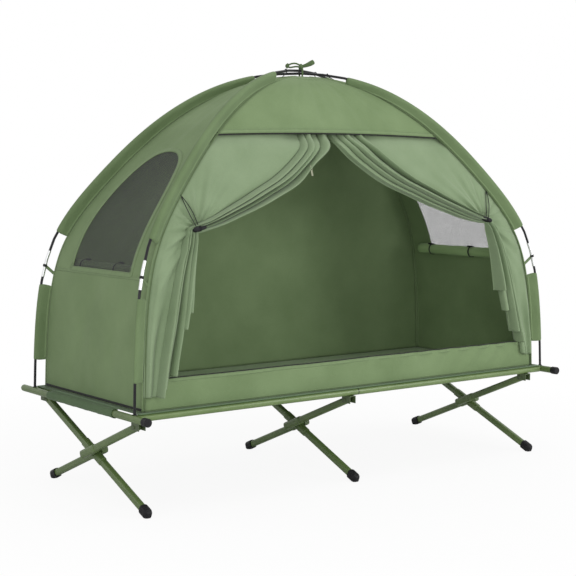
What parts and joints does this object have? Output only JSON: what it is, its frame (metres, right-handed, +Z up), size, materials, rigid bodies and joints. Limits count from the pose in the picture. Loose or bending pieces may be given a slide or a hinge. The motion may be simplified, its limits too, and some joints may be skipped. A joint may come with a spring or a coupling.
{
  "type": "tent cot",
  "caption": "Folding cot on crossing leg sets with a small dome tent on its end bars, arched poles in sleeves, tied-back door curtains and net windows.",
  "frame": {"origin": "on the floor, under the middle of the cot", "axes": "+X along the cot to its right end as seen from the door, +Y to the rear, +Z up"},
  "size_m": [1.9338, 0.9, 1.5539],
  "materials": {
    "leg_paint": "satin olive powder coat",
    "black_plastic": "moulded black plastic",
    "rail_paint": "satin light olive powder coat",
    "steel": "bright zinc plate",
    "bed_cloth": "tight teal green weave",
    "bracket_paint": "satin black",
    "tent_cloth": "light sage polyester",
    "window_net": "fine dark net",
    "curtain_cloth": "light pale sage polyester",
    "zip_metal": "plated zip pull",
    "pole": "black glass fibre rod",
    "ferrule": "bright metal sleeve"
  },
  "bodies": {
    "cot_frame": {"end_bar_left": "leg_paint", "end_bar_right": "leg_paint", "end_cap_left": "black_plastic", "end_cap_right": "black_plastic", "rear_rail_left": "rail_paint", "rear_rail_right": "rail_paint", "rear_rail_joiner": "steel", "bed_sheet": "bed_cloth", "rear_bracket_left": "bracket_paint", "rear_bracket_mid": "bracket_paint", "rear_bracket_right": "bracket_paint"},
    "leg_a_left": {"leg_a_left": "leg_paint", "boot_a_left": "black_plastic"},
    "leg_a_mid": {"leg_a_mid": "leg_paint", "boot_a_mid": "black_plastic"},
    "leg_a_right": {"leg_a_right": "leg_paint", "boot_a_right": "black_plastic"},
    "leg_b_left": {"leg_b_left": "leg_paint", "boot_b_left": "black_plastic"},
    "leg_b_mid": {"leg_b_mid": "leg_paint", "boot_b_mid": "black_plastic"},
    "leg_b_right": {"leg_b_right": "leg_paint", "boot_b_right": "black_plastic"},
    "front_rail": {"front_rail_left": "rail_paint", "front_rail_right": "rail_paint", "front_rail_joiner": "steel", "front_bracket_left": "bracket_paint", "front_bracket_mid": "bracket_paint", "front_bracket_right": "bracket_paint"},
    "tent": {"tent_floor": "tent_cloth", "door_sill": "tent_cloth", "end_wall_left": "tent_cloth", "end_wall_right": "tent_cloth", "rear_wall": "tent_cloth", "front_panel": "tent_cloth", "window_net_left": "window_net", "window_net_right": "window_net", "window_roll_left": "tent_cloth", "window_roll_right": "tent_cloth", "curtain_left": "curtain_cloth", "curtain_right": "curtain_cloth", "curtain_toggle_left": "black_plastic", "curtain_toggle_right": "black_plastic", "zip_pull": "zip_metal", "top_tie": "tent_cloth", "pole_front_left": "pole", "pole_front_right": "pole", "pole_ferrule_front_left": "ferrule", "pole_ferrule_front_right": "ferrule", "pole_ferrule_rear_left": "ferrule", "pole_ferrule_rear_right": "ferrule", "upper_sleeve_front_left": "tent_cloth", "upper_sleeve_front_right": "tent_cloth", "upper_sleeve_rear_left": "tent_cloth", "upper_sleeve_rear_right": "tent_cloth", "lower_sleeve_front_left": "tent_cloth", "lower_sleeve_front_right": "tent_cloth", "lower_sleeve_rear_left": "tent_cloth", "lower_sleeve_rear_right": "tent_cloth"}
  },
  "joints": [
    {"name": "fold", "type": "hinge", "parent": "cot_frame", "child": "leg_a_mid", "pos_m": [-0.02, 0.345, 0.3045], "axis": [1, 0, 0], "range_deg": [0, 61]},
    {"name": "fold_a_left", "type": "hinge", "parent": "cot_frame", "child": "leg_a_left", "pos_m": [-0.905, 0.345, 0.3045], "axis": [1, 0, 0], "range_deg": [-1, 62]},
    {"name": "fold_a_right", "type": "hinge", "parent": "cot_frame", "child": "leg_a_right", "pos_m": [0.89, 0.345, 0.3045], "axis": [1, 0, 0], "range_deg": [-1, 62]},
    {"name": "cross_left", "type": "hinge", "parent": "leg_a_left", "child": "leg_b_left", "pos_m": [-0.905, 0, 0.162], "axis": [1, 0, 0], "range_deg": [-123, 1]},
    {"name": "cross_mid", "type": "hinge", "parent": "leg_a_mid", "child": "leg_b_mid", "pos_m": [-0.02, 0, 0.162], "axis": [1, 0, 0], "range_deg": [-123, 1]},
    {"name": "cross_right", "type": "hinge", "parent": "leg_a_right", "child": "leg_b_right", "pos_m": [0.89, 0, 0.162], "axis": [1, 0, 0], "range_deg": [-123, 1]},
    {"name": "rail_level", "type": "hinge", "parent": "leg_b_mid", "child": "front_rail", "pos_m": [-0.0473, -0.345, 0.3045], "axis": [1, 0, 0], "range_deg": [-1, 62]},
    {"name": "tent_lift", "type": "slide", "parent": "cot_frame", "child": "tent", "axis": [0, 0, 1], "range_m": [0, 0.5]}
  ],
  "couplings": [
    {"joint": "fold_a_left", "follows": "fold", "ratio": 1},
    {"joint": "fold_a_right", "follows": "fold", "ratio": 1},
    {"joint": "cross_left", "follows": "fold", "ratio": -2},
    {"joint": "cross_mid", "follows": "fold", "ratio": -2},
    {"joint": "cross_right", "follows": "fold", "ratio": -2},
    {"joint": "rail_level", "follows": "fold", "ratio": 1}
  ]
}
